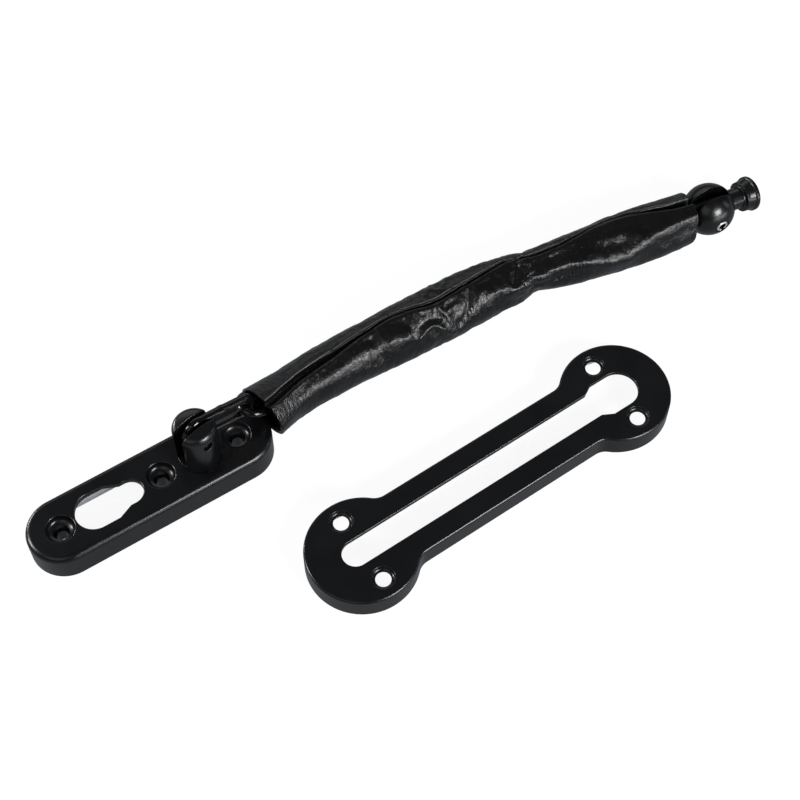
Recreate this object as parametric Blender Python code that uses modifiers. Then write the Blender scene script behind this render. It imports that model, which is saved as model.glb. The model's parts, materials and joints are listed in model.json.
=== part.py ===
"""Door chain guard with a leather sleeve.

A hollow frame plate holds a swivel post. A welded chain of nine links hangs on the post's roll pin
and ends in a slotted ball, whose stem and button slide in the separate track plate. A soft leather
sleeve covers the chain. Metres, +Z up. The origin is the middle of the frame plate's back face, and
+X runs along that plate towards the chain.
"""

import math

import bmesh
import bpy
from mathutils import Matrix, Vector

MM = 0.001
GAP = 0.3 * MM  # between surfaces that touch on the real object

# Frame plate: a hollow die-cast stadium with three screw bosses and a keyhole that parks the button
FRAME_HALF_LENGTH = 30.8 * MM  # to the centre of each round end
FRAME_END_R = 11.4 * MM
FRAME_HEIGHT = 10.9 * MM
FRAME_EDGE_R = 1.95 * MM
FRAME_TOP_WALL = 2.0 * MM
FRAME_SIDE_WALL = 1.8 * MM
FRAME_SCREW_X = (-31.3 * MM, 3.7 * MM, 30.9 * MM)
FRAME_BOSS_R = 5.2 * MM
SCREW_HOLE_R = 2.35 * MM
SCREW_HEAD_R = 4.7 * MM
PARK_WIDE_X = -19.4 * MM
PARK_WIDE_R = 6.4 * MM
PARK_STRAIGHT = 5.6 * MM
PARK_TAPER = 4.8 * MM
PARK_NARROW_X = -7.2 * MM
PARK_NARROW_R = 4.3 * MM

# Swivel post: a domed pin, slotted for the first link, retained inside the frame plate
POST_X = 17.5 * MM
POST_R = 6.9 * MM
POST_SHOULDER_R = 2.4 * MM
POST_SHOULDER_Z = 27.2 * MM  # where the shoulder's rounding starts
POST_CROWN_SLOPE = 20  # degrees, where the shoulder meets the crown
POST_SLOT_WIDTH = 4.5 * MM
POST_SLOT_Z = 13.6 * MM
POST_PIN_Z = 24.4 * MM
POST_PIN_R = 1.3 * MM
POST_PIN_LENGTH = 11.6 * MM
POST_PAD_R = 7.0 * MM
POST_PAD_Z = 7.9 * MM
SPIGOT_R = 3.4 * MM
SPIGOT_Z = 3.9 * MM
GROOVE_R = 2.6 * MM
GROOVE_Z = (4.9 * MM, 6.3 * MM)
WASHER_R = 6.4 * MM
WASHER_THICKNESS = 1.0 * MM
RING_R = 5.0 * MM
RING_THICKNESS = 0.8 * MM
RING_MOUTH = 4.4 * MM

# Chain: nine welded links, every second one lying flat
WIRE_D = 3.0 * MM
LINK_WIDTH = 10.9 * MM
LINK_INNER_LENGTH = 23.0 * MM
LINK_HEADINGS = (10.0, 5.5, 1.5, -2.0, -3.0, -7.0, -11.0, -11.0, -5.0)  # degrees from +X
LINK_1_PLAY = Vector((0, 0.4, 0.6)) * MM  # where the first link lies in the post's slot
SLOPING_LINKS = 2  # the links between the post and the level run
CHAIN_Z = 9.1 * MM

# End ball, stem and button: one turned piece
BALL_R = 9.05 * MM
BALL_SLOT_WIDTH = 4.2 * MM
BALL_SLOT_DEPTH = 5.95 * MM
BALL_FLAT_R = 6.0 * MM
BALL_HEADING = -3.8
BALL_DROOP = 6.2
BALL_PIN_R = 2.2 * MM
BALL_PIN_LENGTH = 17.4 * MM
STEM_R = 3.8 * MM
COLLAR_R = 4.8 * MM
CONE_R = 5.5 * MM
BUTTON_R = 6.15 * MM
COLLAR_X = 13.2 * MM
CONE_X = 14.2 * MM
RIM_X = 16.5 * MM
RIM_END_X = 18.0 * MM

# Track plate: a hollow die-cast dog-bone with a long keyhole, lying loose beside the chain
TRACK_CENTRE = (93.6 * MM, -52.6 * MM)
TRACK_TURN = 2.35
TRACK_HALF_LENGTH = 49.6 * MM
TRACK_END_R = 18.2 * MM
TRACK_BAR_R = 11.8 * MM
TRACK_FILLET_R = 5.6 * MM
TRACK_HEIGHT = 8.25 * MM
TRACK_EDGE_R = 0.85 * MM
TRACK_WALL = 1.4 * MM
TRACK_NARROW_X = -52.0 * MM
TRACK_NARROW_R = 4.4 * MM
TRACK_WIDE_X = 51.0 * MM
TRACK_WIDE_R = 6.4 * MM
TRACK_STRAIGHT = 6.7 * MM
TRACK_TAPER = 3.7 * MM
TRACK_HOLE_X = 49.7 * MM
TRACK_HOLE_Y = 11.6 * MM
TRACK_HOLE_R = 2.4 * MM
TRACK_HOLE_TOP_R = 3.5 * MM

# Leather sleeve: one soft tube, cut here at the chain's joints so that it can bend
SLEEVE_R = 8.7 * MM
SLEEVE_WALL = 1.3 * MM
SLEEVE_MOUTH_R = 9.7 * MM
SLEEVE_MOUTH_SHIFT = Vector((0.6, -2.0, -3.3)) * MM  # the soft end hangs off its link
SLEEVE_MOUTH_X = 43.9 * MM
SLEEVE_MOUTH_LEAN = 0.35
SLEEVE_BEND = 26.0  # degrees that each joint turns beyond its rest
SLEEVE_END_CLEARANCE = 10.4 * MM

ARC_STEPS = 16  # for a half circle of an outline
TURN_STEPS = 32  # round a turned piece

collections = {}
materials = {}


def start_scene():
    """Empties the scene, and makes the collections for the parts and the cutters."""
    for obj in list(bpy.data.objects):
        bpy.data.objects.remove(obj)
    for name in ("Door chain guard", "Cutters"):
        collections[name] = bpy.data.collections.new(name)
        bpy.context.scene.collection.children.link(collections[name])
    collections["Cutters"].hide_render = True


def add_material(name, colour, metallic, roughness):
    material = bpy.data.materials.new(name)
    material.use_nodes = True
    shader = material.node_tree.nodes["Principled BSDF"]
    shader.inputs["Base Color"].default_value = (*colour, 1.0)
    shader.inputs["Metallic"].default_value = metallic
    shader.inputs["Roughness"].default_value = roughness
    materials[name] = material


def add_object(name, mesh, material=None):
    """An object of the model, or a cutter where no material is given."""
    obj = bpy.data.objects.new(name, mesh)
    if material:
        collections["Door chain guard"].objects.link(obj)
        mesh.materials.clear()
        mesh.materials.append(materials[material])
    else:
        collections["Cutters"].objects.link(obj)
        obj.hide_render = True
        obj.display_type = "WIRE"
    return obj


def smooth(obj, angle=35.0):
    obj.data.shade_smooth()
    obj.data.set_sharp_from_angle(angle=math.radians(angle))


def boolean(obj, other, operation="DIFFERENCE"):
    modifier = obj.modifiers.new(f"{operation.lower()} {other.name}", "BOOLEAN")
    modifier.operation = operation
    modifier.object = other
    modifier.solver = "EXACT"


def arc(centre, radius, start, end, steps=ARC_STEPS):
    """Points on an arc between two angles in degrees, both ends included."""
    angles = (math.radians(start + (end - start) * i / steps) for i in range(steps + 1))
    return [(centre[0] + radius * math.cos(a), centre[1] + radius * math.sin(a)) for a in angles]


def stadium(half_length, radius):
    return arc((half_length, 0), radius, -90, 90) + arc((-half_length, 0), radius, 90, 270)


def dog_bone(half_length, end_radius, bar_radius, fillet):
    """Two round ends joined by a narrower bar, with a fillet in each inner corner."""
    rise = bar_radius + fillet
    reach = math.sqrt((end_radius + fillet) ** 2 - rise**2)
    turn = math.degrees(math.atan2(rise, reach))
    quarter = arc((half_length, 0), end_radius, 0, 180 - turn, ARC_STEPS)
    quarter += arc((half_length - reach, rise), fillet, -turn, -90, 4)[1:]
    half = quarter + [(-x, y) for x, y in reversed(quarter)]
    return half + [(x, -y) for x, y in reversed(half[1:-1])]


def keyhole(wide_x, wide_r, straight, taper, narrow_x, narrow_r):
    """A slot with a wide end that the button passes and a narrow run that holds its stem."""
    side = 1 if narrow_x > wide_x else -1
    upper = arc((0, 0), wide_r, 180, 90, ARC_STEPS // 2)
    upper += [(straight, wide_r), (straight + taper, narrow_r)]
    upper += arc((abs(narrow_x - wide_x), 0), narrow_r, 90, 0, ARC_STEPS // 2)
    outline = upper + [(x, -y) for x, y in reversed(upper[1:-1])]
    return [(wide_x + side * x, y) for x, y in outline]


def prism_mesh(name, outline, low, high, edge_radius=0.0):
    """An outline extruded between two heights, with its top edge rounded."""
    mesh = bpy.data.meshes.new(name)
    form = bmesh.new()
    base = form.faces.new([form.verts.new((x, y, low)) for x, y in outline])
    made = bmesh.ops.extrude_face_region(form, geom=[base])["geom"]
    top = [v for v in made if isinstance(v, bmesh.types.BMVert)]
    bmesh.ops.translate(form, verts=top, vec=(0, 0, high - low))
    bmesh.ops.recalc_face_normals(form, faces=form.faces)
    if edge_radius:
        level = high - MM / 100
        edges = [e for e in form.edges if all(v.co.z > level for v in e.verts)]
        bmesh.ops.bevel(form, geom=edges, offset=edge_radius, segments=3, affect="EDGES", profile=0.5)
    form.to_mesh(mesh)
    form.free()
    return mesh


def cylinder(name, radius, low, high, place=(0, 0), top_radius=None, steps=TURN_STEPS):
    """A cylinder or cone that cuts or joins, standing at a place on the XY plane."""
    mesh = bpy.data.meshes.new(name)
    form = bmesh.new()
    bmesh.ops.create_cone(
        form,
        cap_ends=True,
        segments=steps,
        radius1=radius,
        radius2=radius if top_radius is None else top_radius,
        depth=high - low,
        matrix=Matrix.Translation((place[0], place[1], (low + high) / 2)),
    )
    form.to_mesh(mesh)
    form.free()
    return add_object(name, mesh)


def box(name, low, high, material=None):
    mesh = bpy.data.meshes.new(name)
    form = bmesh.new()
    size = [b - a for a, b in zip(low, high)]
    middle = [(a + b) / 2 for a, b in zip(low, high)]
    placed = Matrix.Translation(middle) @ Matrix.Diagonal((*size, 1))
    bmesh.ops.create_cube(form, size=1, matrix=placed)
    form.to_mesh(mesh)
    form.free()
    return add_object(name, mesh, material)


def turned(name, profile, material, steps=TURN_STEPS):
    """A profile of (radius, height) points, top to bottom, turned round Z."""
    mesh = bpy.data.meshes.new(name)
    form = bmesh.new()
    points = [form.verts.new((radius, 0, height)) for radius, height in profile]
    for first, second in zip(points, points[1:]):
        form.edges.new((first, second))
    form.to_mesh(mesh)
    form.free()
    obj = add_object(name, mesh, material)
    screw = obj.modifiers.new("turn", "SCREW")
    screw.steps = screw.render_steps = steps
    screw.use_merge_vertices = True
    screw.merge_threshold = MM / 100
    return obj


def aimed(heading, slope=0.0, roll=0.0):
    """A turn that takes +X to a heading in the XY plane and a slope below it, in degrees."""
    turn = Matrix.Rotation(math.radians(heading), 4, "Z")
    turn = turn @ Matrix.Rotation(math.radians(slope), 4, "Y")
    return turn @ Matrix.Rotation(math.radians(roll), 4, "X")


def curve_mesh(name, points, radius, cyclic=False, capped=True, radii=None, resolution=3):
    """A round tube along a line of points, made a mesh."""
    data = bpy.data.curves.new(name, "CURVE")
    data.dimensions = "3D"
    data.bevel_depth = radius
    data.bevel_resolution = resolution
    data.use_fill_caps = capped and not cyclic
    line = data.splines.new("POLY")
    line.points.add(len(points) - 1)
    for i, point in enumerate(points):
        line.points[i].co = (*point, 1)
        line.points[i].radius = radii[i] if radii else 1.0
    line.use_cyclic_u = cyclic
    guide = bpy.data.objects.new(name, data)
    bpy.context.scene.collection.objects.link(guide)
    evaluated = guide.evaluated_get(bpy.context.evaluated_depsgraph_get())
    mesh = bpy.data.meshes.new_from_object(evaluated)
    bpy.data.objects.remove(guide)
    form = bmesh.new()
    form.from_mesh(mesh)
    bmesh.ops.remove_doubles(form, verts=form.verts, dist=MM / 1000)
    form.to_mesh(mesh)
    form.free()
    return mesh


def chain_stations():
    """Where each link turns, from the post's pin to the ball's pin, and each link's slope."""
    step = LINK_INNER_LENGTH - GAP
    lengths = [step] * len(LINK_HEADINGS)
    lengths[0] = LINK_INNER_LENGTH + WIRE_D / 2 - POST_PIN_R - GAP
    lengths[-1] = step - BALL_PIN_R - WIRE_D / 2 - GAP
    slope = math.asin((POST_PIN_Z - CHAIN_Z) / sum(lengths[:SLOPING_LINKS]))
    slopes = [math.degrees(slope) if i < SLOPING_LINKS else 0.0 for i in range(len(lengths))]
    stations = [Vector((POST_X, 0, POST_PIN_Z))]
    for length, heading, fall in zip(lengths, LINK_HEADINGS, slopes):
        stations.append(stations[-1] + aimed(heading, fall) @ Vector((length, 0, 0)))
    return stations, slopes


def frame_plate():
    mesh = prism_mesh(
        "frame_plate", stadium(FRAME_HALF_LENGTH, FRAME_END_R), 0, FRAME_HEIGHT, FRAME_EDGE_R
    )
    plate = add_object("frame_plate", mesh, "black enamel")
    inner = stadium(FRAME_HALF_LENGTH, FRAME_END_R - FRAME_SIDE_WALL)
    ceiling = FRAME_HEIGHT - FRAME_TOP_WALL
    hollow = prism_mesh("frame_hollow", inner, -MM, ceiling, FRAME_SIDE_WALL / 2)
    boolean(plate, add_object("frame_hollow", hollow))
    root = ceiling + FRAME_TOP_WALL / 2
    for i, x in enumerate(FRAME_SCREW_X):
        boss = cylinder(f"frame_boss_{i + 1}", FRAME_BOSS_R, 0, root, (x, 0))
        boolean(plate, boss, "UNION")
    pad = cylinder("post_pad", POST_PAD_R, POST_PAD_Z, root, (POST_X, 0))
    boolean(plate, pad, "UNION")
    sink = SCREW_HEAD_R - SCREW_HOLE_R
    for i, x in enumerate(FRAME_SCREW_X):
        hole = cylinder(f"frame_hole_{i + 1}", SCREW_HOLE_R, -MM, FRAME_HEIGHT + MM, (x, 0))
        boolean(plate, hole)
        low, high = FRAME_HEIGHT - sink, FRAME_HEIGHT + MM
        head = cylinder(
            f"frame_sink_{i + 1}", SCREW_HOLE_R, low, high, (x, 0), SCREW_HEAD_R + MM
        )
        boolean(plate, head)
    parking = keyhole(
        PARK_WIDE_X, PARK_WIDE_R, PARK_STRAIGHT, PARK_TAPER, PARK_NARROW_X, PARK_NARROW_R
    )
    slot = prism_mesh("park_slot", parking, ceiling - MM, FRAME_HEIGHT + MM)
    boolean(plate, add_object("park_slot", slot))
    bore = cylinder("post_bore", SPIGOT_R + GAP, POST_PAD_Z - MM, FRAME_HEIGHT + MM, (POST_X, 0))
    boolean(plate, bore)
    smooth(plate)


def swivel_post():
    """The domed post, its roll pin, and the washer and ring that keep it in the frame plate."""
    heading = LINK_HEADINGS[0]
    seat = FRAME_HEIGHT + GAP
    edge = POST_R - POST_SHOULDER_R
    shoulder = arc((edge, POST_SHOULDER_Z), POST_SHOULDER_R, 90 - POST_CROWN_SLOPE, 0, 6)
    crown_r = shoulder[0][0] / math.sin(math.radians(POST_CROWN_SLOPE))
    crown_z = shoulder[0][1] - crown_r * math.cos(math.radians(POST_CROWN_SLOPE))
    crown = arc((0, crown_z), crown_r, 90, 90 - POST_CROWN_SLOPE, 4)
    crown[0] = (0, crown_z + crown_r)
    dome = crown[:-1] + shoulder
    foot = [(POST_R, seat), (SPIGOT_R, seat), (SPIGOT_R, GROOVE_Z[1]), (GROOVE_R, GROOVE_Z[1])]
    tail = [(GROOVE_R, GROOVE_Z[0]), (SPIGOT_R, GROOVE_Z[0]), (SPIGOT_R, SPIGOT_Z), (0, SPIGOT_Z)]
    post = turned("swivel_post", dome + foot + tail, "black enamel")
    reach = 2 * POST_R
    slot = box(
        "post_slot",
        (-reach, -POST_SLOT_WIDTH / 2, POST_SLOT_Z),
        (reach, POST_SLOT_WIDTH / 2, POST_SHOULDER_Z + reach),
    )
    hole = cylinder("post_pin_hole", POST_PIN_R + GAP, -reach, reach, steps=20)
    hole.matrix_world = Matrix.Translation((0, 0, POST_PIN_Z)) @ Matrix.Rotation(math.pi / 2, 4, "X")
    placed = Matrix.Translation((POST_X, 0, 0)) @ aimed(heading)
    for obj in (post, slot, hole):
        obj.matrix_world = placed @ obj.matrix_world
    boolean(post, slot)
    boolean(post, hole)
    smooth(post)
    roll_pin("post_roll_pin", POST_PIN_R, POST_PIN_LENGTH, (POST_X, 0, POST_PIN_Z), heading)
    washer_top = POST_PAD_Z - GAP
    ring_low = (GROOVE_Z[0] + GROOVE_Z[1] - RING_THICKNESS) / 2
    flat_ring("post_washer", SPIGOT_R + GAP, WASHER_R, washer_top - WASHER_THICKNESS, washer_top)
    ring = flat_ring(
        "post_retaining_ring", GROOVE_R + GAP, RING_R, ring_low, ring_low + RING_THICKNESS
    )
    mouth = box(
        "ring_mouth",
        (POST_X - RING_MOUTH / 2, 0, 0),
        (POST_X + RING_MOUTH / 2, 2 * RING_R, FRAME_HEIGHT),
    )
    boolean(ring, mouth)


def flat_ring(name, inner, outer, low, high):
    """A flat ring round the post's spigot."""
    profile = [(inner, high), (outer, high), (outer, low), (inner, low), (inner, high)]
    ring = turned(name, profile, "zinc plate")
    ring.location = (POST_X, 0, 0)
    smooth(ring)
    return ring


def roll_pin(name, radius, length, place, heading, slope=0.0):
    """A slotted spring pin lying across a heading."""
    bore = radius * 0.55
    split = 14.0
    outline = arc((0, 0), radius, split, 360 - split, 20)
    outline += arc((0, 0), bore, 360 - 2 * split, 2 * split, 20)
    mesh = prism_mesh(name, outline, -length / 2, length / 2)
    pin = add_object(name, mesh, "bright steel")
    across = Matrix.Rotation(math.pi / 2, 4, "X")
    pin.matrix_world = Matrix.Translation(place) @ aimed(heading, slope) @ across
    smooth(pin)


def chain_links(stations, slopes):
    """Nine links; link 1 stands on edge, link 2 lies flat, and so on. Each hangs on the one before."""
    bend = (LINK_WIDTH - WIRE_D) / 2
    half = (LINK_INNER_LENGTH + WIRE_D) / 2 - bend
    far = arc((half, 0), bend, -90, 90, 9)
    outline = far + [(-x, -y) for x, y in far]
    mesh = curve_mesh("chain_link", [(x, 0, y) for x, y in outline], WIRE_D / 2, cyclic=True)
    mesh.materials.append(materials["gloss black"])
    mesh.shade_smooth()
    for i, (heading, slope) in enumerate(zip(LINK_HEADINGS, slopes)):
        back = WIRE_D + GAP if i else POST_PIN_R + WIRE_D / 2 + GAP
        turn = aimed(heading, slope)
        centre = stations[i] + turn @ Vector((half + bend - back, 0, 0))
        if i == 0:
            centre += turn @ LINK_1_PLAY
        link = bpy.data.objects.new(f"chain_link_{i + 1}", mesh)
        collections["Door chain guard"].objects.link(link)
        pivot = bpy.data.objects.new(f"link_joint_{i + 1}", None)
        collections["Door chain guard"].objects.link(pivot)
        pivot.matrix_world = Matrix.Translation(stations[i]) @ turn
        link.parent = pivot
        offset = pivot.matrix_world.inverted() @ centre
        link.matrix_local = Matrix.Translation(offset) @ Matrix.Rotation(math.pi / 2 * (i % 2), 4, "X")


def sleeve_setback(before, after):
    """How far a section stops short of a joint, so that its edge clears the next one's."""
    bend = before.angle(after) + math.radians(SLEEVE_BEND)
    return SLEEVE_R * math.tan(bend / 2)


def sleeve_sections(stations):
    """Eight lengths of the leather tube, from the second link to the ball."""
    runs = [(b - a).normalized() for a, b in zip(stations, stations[1:])]
    first, last = 1, len(runs) - 1
    for i in range(first, last + 1):
        near, far, along = stations[i], stations[i + 1], runs[i]
        start = near + along * sleeve_setback(runs[i - 1], along)
        end = far - along * sleeve_setback(along, runs[min(i + 1, last)])
        radii = [1.0, 1.0]
        if i == first:
            start = near + SLEEVE_MOUTH_SHIFT
            radii[0] = SLEEVE_MOUTH_R / SLEEVE_R
        if i == last:
            end = far - along * SLEEVE_END_CLEARANCE
        name = f"sleeve_section_{i}"
        middle = SLEEVE_R - SLEEVE_WALL / 2
        mesh = curve_mesh(name, (start, end), middle, capped=False, radii=radii, resolution=10)
        section = add_object(name, mesh, "black leather")
        section.parent = bpy.data.objects[f"link_joint_{i + 1}"]
        section.matrix_parent_inverse = section.parent.matrix_world.inverted()
        wall = section.modifiers.new("wall", "SOLIDIFY")
        wall.thickness = SLEEVE_WALL
        wall.offset = 0
        smooth(section)
        if i == first:
            trim = box("mouth_trim", (-40 * MM, -20 * MM, -40 * MM), (0, 20 * MM, 40 * MM))
            lean = math.degrees(math.atan(SLEEVE_MOUTH_LEAN))
            place = Matrix.Translation((SLEEVE_MOUTH_X, start.y, FRAME_HEIGHT))
            trim.matrix_world = place @ aimed(LINK_HEADINGS[0], -lean)
            boolean(section, trim)


def end_ball(station):
    """The slotted ball with its stem and button, and the roll pin that holds the last link."""
    flat_x = math.sqrt(BALL_R**2 - BALL_FLAT_R**2)
    meets = math.degrees(math.asin(flat_x / BALL_R))
    soft = 0.4 * MM
    profile = [(0, RIM_END_X), (BUTTON_R - soft, RIM_END_X), (BUTTON_R, RIM_END_X - soft)]
    profile += [(BUTTON_R, RIM_X), (CONE_R, RIM_X), (COLLAR_R, CONE_X), (COLLAR_R, COLLAR_X + soft)]
    profile += [(COLLAR_R - soft, COLLAR_X), (STEM_R, COLLAR_X), (STEM_R, flat_x)]
    profile += arc((0, 0), BALL_R, meets, -90, 18)[:-1] + [(0, -BALL_R)]
    ball = turned("end_ball", profile, "black enamel")
    slot = box(
        "ball_slot",
        (-2 * BALL_R, -BALL_SLOT_WIDTH / 2, -2 * BALL_R),
        (BALL_SLOT_DEPTH, BALL_SLOT_WIDTH / 2, 2 * BALL_R),
    )
    hole = cylinder("ball_pin_hole", BALL_PIN_R + GAP, -2 * BALL_R, 2 * BALL_R, steps=24)
    hole.matrix_world = Matrix.Rotation(math.pi / 2, 4, "X")
    ball.matrix_world = Matrix.Rotation(math.pi / 2, 4, "Y")
    placed = Matrix.Translation(station) @ aimed(BALL_HEADING, BALL_DROOP)
    for obj in (ball, slot, hole):
        obj.matrix_world = placed @ obj.matrix_world
    boolean(ball, slot)
    boolean(ball, hole)
    smooth(ball)
    roll_pin("end_roll_pin", BALL_PIN_R, BALL_PIN_LENGTH, station, BALL_HEADING, BALL_DROOP)


def track_plate():
    outline = dog_bone(TRACK_HALF_LENGTH, TRACK_END_R, TRACK_BAR_R, TRACK_FILLET_R)
    mesh = prism_mesh("track_plate", outline, 0, TRACK_HEIGHT, TRACK_EDGE_R)
    plate = add_object("track_plate", mesh, "black enamel")
    inner = dog_bone(
        TRACK_HALF_LENGTH,
        TRACK_END_R - TRACK_WALL,
        TRACK_BAR_R - TRACK_WALL,
        TRACK_FILLET_R + TRACK_WALL,
    )
    ceiling = TRACK_HEIGHT - TRACK_WALL
    cutters = [add_object("track_hollow", prism_mesh("track_hollow", inner, -MM, ceiling))]
    run = keyhole(
        TRACK_WIDE_X, TRACK_WIDE_R, TRACK_STRAIGHT, TRACK_TAPER, TRACK_NARROW_X, TRACK_NARROW_R
    )
    slot = prism_mesh("track_slot", run, ceiling - MM, TRACK_HEIGHT + MM)
    cutters.append(add_object("track_slot", slot))
    top = TRACK_HEIGHT + MM
    flare = TRACK_HOLE_TOP_R - TRACK_HOLE_R
    for i, (x, y) in enumerate((a, b) for a in (-1, 1) for b in (-1, 1)):
        spot = (x * TRACK_HOLE_X, y * TRACK_HOLE_Y)
        hole = cylinder(f"track_hole_{i + 1}", TRACK_HOLE_R, ceiling - MM, top, spot, steps=24)
        sink = cylinder(
            f"track_sink_{i + 1}",
            TRACK_HOLE_R,
            TRACK_HEIGHT - flare,
            top,
            spot,
            TRACK_HOLE_TOP_R + MM,
            24,
        )
        cutters += [hole, sink]
    placed = Matrix.Translation((*TRACK_CENTRE, 0)) @ aimed(TRACK_TURN)
    plate.matrix_world = placed
    for cutter in cutters:
        cutter.matrix_world = placed
        boolean(plate, cutter)
    smooth(plate)


def main():
    start_scene()
    add_material("black enamel", (0.012, 0.012, 0.014), 0.0, 0.42)
    add_material("gloss black", (0.008, 0.008, 0.009), 0.0, 0.18)
    add_material("black leather", (0.014, 0.013, 0.014), 0.0, 0.55)
    add_material("bright steel", (0.72, 0.72, 0.74), 1.0, 0.25)
    add_material("zinc plate", (0.62, 0.63, 0.66), 1.0, 0.35)
    stations, slopes = chain_stations()
    frame_plate()
    swivel_post()
    chain_links(stations, slopes)
    sleeve_sections(stations)
    end_ball(stations[-1])
    track_plate()


main()
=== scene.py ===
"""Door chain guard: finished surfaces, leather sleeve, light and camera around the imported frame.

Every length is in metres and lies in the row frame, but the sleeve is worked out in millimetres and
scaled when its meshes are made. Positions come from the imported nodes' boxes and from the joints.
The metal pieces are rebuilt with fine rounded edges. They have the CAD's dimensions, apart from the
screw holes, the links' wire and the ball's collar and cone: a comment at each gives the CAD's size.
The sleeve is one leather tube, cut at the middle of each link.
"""

import json
import math

import bmesh
import bpy
import numpy as np
from mathutils import Matrix, Vector, noise


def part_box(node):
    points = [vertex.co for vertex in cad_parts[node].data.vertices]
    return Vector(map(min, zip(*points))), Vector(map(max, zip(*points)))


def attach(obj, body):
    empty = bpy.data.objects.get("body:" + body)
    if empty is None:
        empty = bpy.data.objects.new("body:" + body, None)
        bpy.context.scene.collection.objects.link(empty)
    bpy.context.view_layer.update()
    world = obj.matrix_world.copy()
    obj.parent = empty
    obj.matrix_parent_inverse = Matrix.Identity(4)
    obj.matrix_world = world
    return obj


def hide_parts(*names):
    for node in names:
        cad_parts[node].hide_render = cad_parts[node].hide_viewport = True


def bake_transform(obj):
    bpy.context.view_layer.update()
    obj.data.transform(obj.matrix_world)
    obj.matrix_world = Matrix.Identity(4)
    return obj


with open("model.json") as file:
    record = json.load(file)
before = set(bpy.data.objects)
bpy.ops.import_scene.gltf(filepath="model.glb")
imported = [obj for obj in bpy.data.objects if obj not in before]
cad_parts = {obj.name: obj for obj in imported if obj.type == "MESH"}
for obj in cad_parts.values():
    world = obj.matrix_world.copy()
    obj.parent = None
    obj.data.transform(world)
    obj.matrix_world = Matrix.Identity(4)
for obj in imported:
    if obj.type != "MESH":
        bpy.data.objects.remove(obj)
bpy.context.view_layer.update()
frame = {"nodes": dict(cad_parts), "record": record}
MM = 0.001
JOINTS = {joint["name"]: joint for joint in frame["record"]["behaviour"]["joints"]}
LINKS = range(1, 10)


def stations():
    """Where each link turns, from the post's pin to the ball's pin."""
    names = ["link_1_lift"]
    names += [f"link_{k}_{'lift' if k % 2 else 'swing'}" for k in LINKS if k > 1]
    return [Vector(JOINTS[name]["pos_m"]) for name in names + ["end_ball_tilt"]]


STATIONS = stations()
RUNS = [(b - a).normalized() for a, b in zip(STATIONS, STATIONS[1:])]


# ---------------------------------------------------------------- mesh tools


def add_object(name, mesh):
    obj = bpy.data.objects.new(name, mesh)
    bpy.context.scene.collection.objects.link(obj)
    return obj


def band(form, low, high):
    """Faces between two rings that have the same number of points."""
    count = len(low)
    for i in range(count):
        j = (i + 1) % count
        form.faces.new((low[i], low[j], high[j], high[i]))


def built(form, mesh_name, name):
    """Turns a finished bmesh into an object, with its faces looking outwards."""
    bmesh.ops.recalc_face_normals(form, faces=form.faces)
    mesh = bpy.data.meshes.new(mesh_name)
    form.to_mesh(mesh)
    form.free()
    return add_object(name, mesh)


def arc(centre, radius, start, end, steps):
    """Points on an arc between two angles in degrees, both ends included."""
    angles = [math.radians(start + (end - start) * i / steps) for i in range(steps + 1)]
    return [(centre[0] + radius * math.cos(a), centre[1] + radius * math.sin(a)) for a in angles]


def stadium(half_length, radius):
    right = arc((half_length, 0), radius, -90, 90, 40)
    return right + arc((-half_length, 0), radius, 90, 270, 40)


def dog_bone(half_length, end_radius, bar_radius, fillet):
    """Two round ends joined by a narrower bar, with a fillet in each inner corner."""
    rise = bar_radius + fillet
    reach = math.sqrt((end_radius + fillet) ** 2 - rise**2)
    turn = math.degrees(math.atan2(rise, reach))
    quarter = arc((half_length, 0), end_radius, 0, 180 - turn, 44)
    quarter += arc((half_length - reach, rise), fillet, -turn, -90, 12)[1:]
    half = quarter + [(-x, y) for x, y in reversed(quarter)]
    return half + [(x, -y) for x, y in reversed(half[1:-1])]


def keyhole(wide_x, wide_r, straight, taper, narrow_x, narrow_r):
    """A slot with a wide end that the button passes and a narrow run that holds its stem."""
    side = 1 if narrow_x > wide_x else -1
    upper = arc((0, 0), wide_r, 180, 90, 24)
    upper += [(straight, wide_r), (straight + taper, narrow_r)]
    upper += arc((abs(narrow_x - wide_x), 0), narrow_r, 90, 0, 20)
    outline = upper + [(x, -y) for x, y in reversed(upper[1:-1])]
    return [(wide_x + side * x, y) for x, y in outline]


def loft(name, rings):
    """A closed body through rings of points that all have the same number of points."""
    form = bmesh.new()
    rows = [[form.verts.new(point) for point in ring] for ring in rings]
    for low, high in zip(rows, rows[1:]):
        band(form, low, high)
    form.faces.new(reversed(rows[0]))
    form.faces.new(rows[-1])
    return built(form, name, name)


def layered(name, outline, levels):
    """A prism whose outline is set in by some distance at each height: levels are (inset, z)."""
    return loft(name, [[(x, y, z) for x, y in outline(inset)] for inset, z in levels])


def rounded_top(low, high, radius, steps=8, foot=0.0):
    """Levels of a body with its upper edge rounded, and a small chamfer at its foot."""
    levels = [(foot, low), (0, low + foot)] if foot else [(0, low)]
    for i in range(steps + 1):
        a = math.radians(90 * i / steps)
        levels.append((radius * (1 - math.cos(a)), high - radius * (1 - math.sin(a))))
    return levels


def flared(low, face, lip, steps=6):
    """Levels of a cutter that leaves a rounded lip where it comes out of a face."""
    levels = [(0, low)]
    for i in range(steps + 1):
        a = math.radians(90 * i / steps)
        levels.append((-lip * (1 - math.cos(a)), face - lip * (1 - math.sin(a))))
    return levels + [(-lip, face + MM)]


def turned(name, profile, steps=96):
    """A profile of (radius, height) points turned round Z. Its first and last radius are above 0."""
    turns = [2 * math.pi * i / steps for i in range(steps)]
    rings = [[(r * math.cos(a), r * math.sin(a), z) for a in turns] for r, z in profile]
    return loft(name, rings)


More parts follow.
